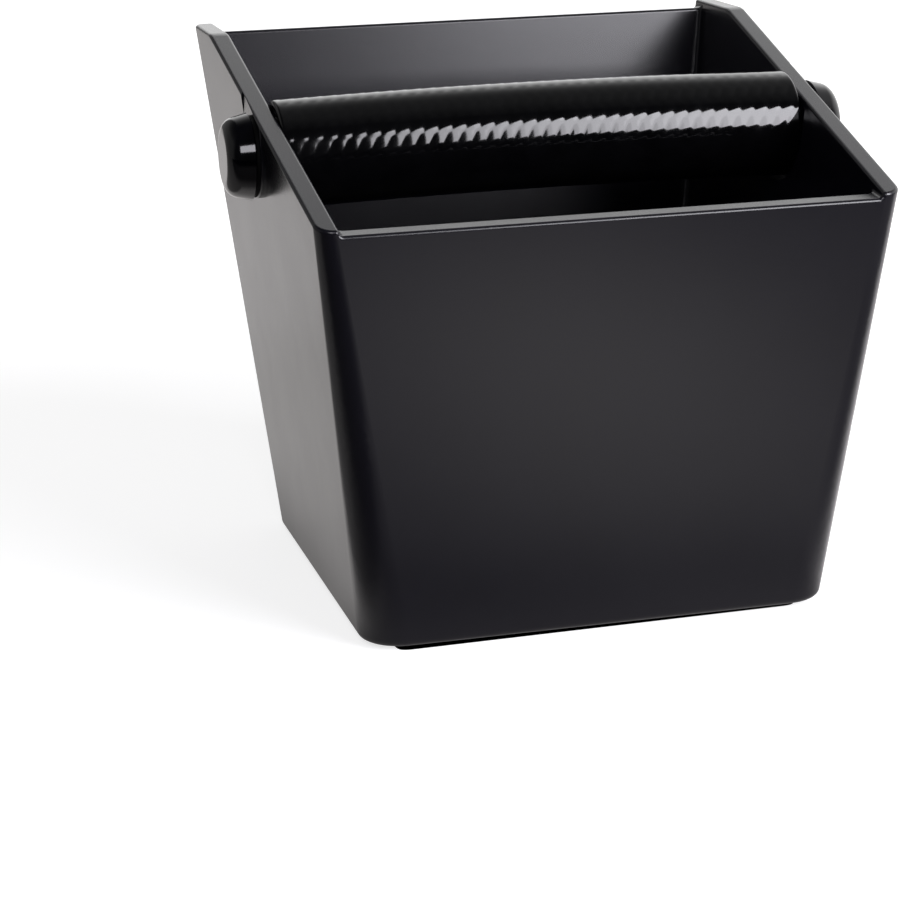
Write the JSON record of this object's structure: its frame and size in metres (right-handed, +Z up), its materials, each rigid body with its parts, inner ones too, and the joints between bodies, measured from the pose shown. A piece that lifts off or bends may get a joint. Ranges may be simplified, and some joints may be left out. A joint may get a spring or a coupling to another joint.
{
  "type": "espresso knock box",
  "caption": "Open leaning box with low front and high rear, and a padded bar across it, held between the side walls by screwed knobs.",
  "frame": {"origin": "centre of the footprint, on the surface that the pad stands on", "axes": "+X across the box along the bar, towards the right-hand knob; +Y from the low front to the high rear; +Z up"},
  "size_m": [0.1922, 0.1662, 0.165],
  "materials": {
    "box_plastic": "fine matt moulded texture, black",
    "pad_rubber": "matt black non-slip rubber",
    "sleeve_rubber": "glossy black rubber embossed with slanted scales",
    "core_steel": "drawn steel tube",
    "plug_aluminium": "turned, satin",
    "washer_rubber": "matt black rubber",
    "stud_steel": "turned and rolled, bright zinc",
    "knob_plastic": "gloss black moulded plastic"
  },
  "bodies": {
    "box": {"bin_body": "box_plastic", "base_pad": "pad_rubber", "bar_core": "core_steel", "bar_sleeve": "sleeve_rubber", "left_end_plug": "plug_aluminium", "right_end_plug": "plug_aluminium", "left_inner_washer": "washer_rubber", "right_inner_washer": "washer_rubber"},
    "left_washer_slider": {"left_outer_washer": "washer_rubber"},
    "left_knob_screw": {"left_knob": "knob_plastic", "left_stud": "stud_steel"},
    "right_washer_slider": {"right_outer_washer": "washer_rubber"},
    "right_knob_screw": {"right_knob": "knob_plastic", "right_stud": "stud_steel"}
  },
  "joints": [
    {"name": "left_knob_travel", "type": "slide", "parent": "box", "child": "left_washer_slider", "axis": [-1, 0, 0], "range_m": [0, 0.01]},
    {"name": "left_knob_turn", "type": "hinge", "parent": "left_washer_slider", "child": "left_knob_screw", "pos_m": [-0.08801, -0.00303, 0.13544], "axis": [-1, 0, 0], "range_deg": [0, 2880]},
    {"name": "right_knob_travel", "type": "slide", "parent": "box", "child": "right_washer_slider", "axis": [1, 0, 0], "range_m": [0, 0.01]},
    {"name": "right_knob_turn", "type": "hinge", "parent": "right_washer_slider", "child": "right_knob_screw", "pos_m": [0.08801, -0.00303, 0.13544], "axis": [1, 0, 0], "range_deg": [0, 2880]}
  ],
  "couplings": [
    {"joint": "left_knob_travel", "follows": "left_knob_turn", "m_per_rad": 0.00019894},
    {"joint": "right_knob_travel", "follows": "right_knob_turn", "m_per_rad": 0.00019894}
  ]
}
